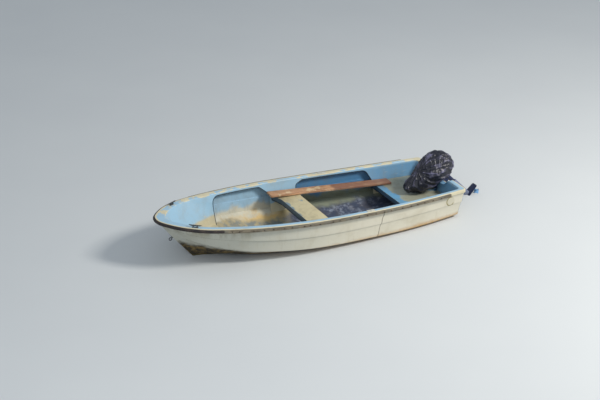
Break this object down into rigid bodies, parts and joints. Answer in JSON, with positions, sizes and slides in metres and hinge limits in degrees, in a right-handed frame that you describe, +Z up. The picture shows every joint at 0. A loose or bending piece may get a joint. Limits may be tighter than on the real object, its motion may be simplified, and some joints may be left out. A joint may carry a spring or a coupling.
{
  "type": "rowing boat",
  "caption": "Small moulded rowing boat with a clinker-look hull, an inner moulding with side pockets and seats, and a tilted, covered outboard motor.",
  "frame": {"origin": "on the centreline at the waterline, amidships", "axes": "+X to the bow, +Y to port, +Z up"},
  "size_m": [4.6075, 1.45, 0.8561],
  "materials": {
    "hull_gelcoat": "weathered gloss",
    "inner_gelcoat": "weathered, worn through to cream",
    "seat_gelcoat": "weathered, worn through to cream",
    "cap_gelcoat": "weathered",
    "bead": "matt",
    "fender": "matt, scuffed",
    "rail": "weathered",
    "fittings": "dull zinc",
    "socket_plastic": "satin",
    "plug": "matt",
    "board": "worn varnish",
    "motor_paint": "gloss paint",
    "propeller_paint": "gloss paint, faded",
    "cowl": "gloss",
    "grip": "matt",
    "cover": "glossy plastic sheet, wrinkled"
  },
  "bodies": {
    "boat": {"hull_shell": "hull_gelcoat", "bow_moulding": "inner_gelcoat", "stern_moulding": "inner_gelcoat", "side_moulding_port": "inner_gelcoat", "side_moulding_starboard": "inner_gelcoat", "mid_thwart": "seat_gelcoat", "stern_seat": "seat_gelcoat", "transom_cap": "cap_gelcoat", "bay_trim_fore_port": "bead", "bay_trim_fore_starboard": "bead", "bay_trim_aft_port": "bead", "bay_trim_aft_starboard": "bead", "thwart_trim_fore": "bead", "thwart_trim_aft": "bead", "bow_seat_trim": "bead", "stern_seat_trim": "bead", "bow_fender": "fender", "rub_rail_fore_port": "rail", "rub_rail_fore_starboard": "rail", "rub_rail_mid_port": "rail", "rub_rail_mid_starboard": "rail", "rub_rail_aft_port": "rail", "rub_rail_aft_starboard": "rail", "cleat_port": "fittings", "cleat_starboard": "fittings", "rowlock_socket_port": "socket_plastic", "rowlock_socket_starboard": "socket_plastic", "stem_eye": "fittings", "drain_plug": "plug", "loose_board": "board", "clamp_bracket": "motor_paint", "clamp_screw_port": "fittings", "clamp_screw_starboard": "fittings"},
    "swivel": {"swivel_bracket": "motor_paint"},
    "motor": {"motor_leg": "motor_paint", "anti_ventilation_plate": "motor_paint", "gearcase": "motor_paint", "powerhead": "cowl", "tiller": "grip", "motor_cover": "cover"},
    "propeller": {"propeller": "propeller_paint"}
  },
  "joints": [
    {"name": "motor_tilt", "type": "hinge", "parent": "boat", "child": "swivel", "pos_m": [-2.052, 0, 0.295], "axis": [0, 1, 0], "range_deg": [-45, 0]},
    {"name": "motor_steer", "type": "hinge", "parent": "swivel", "child": "motor", "pos_m": [-2.08877, 0, 0.33177], "axis": [0.7071, 0, 0.7071], "range_deg": [-35, 35]},
    {"name": "propeller_spin", "type": "hinge", "parent": "motor", "child": "propeller", "pos_m": [-2.53708, 0, -0.01188], "axis": [-0.7071, 0, 0.7071], "continuous": true}
  ]
}
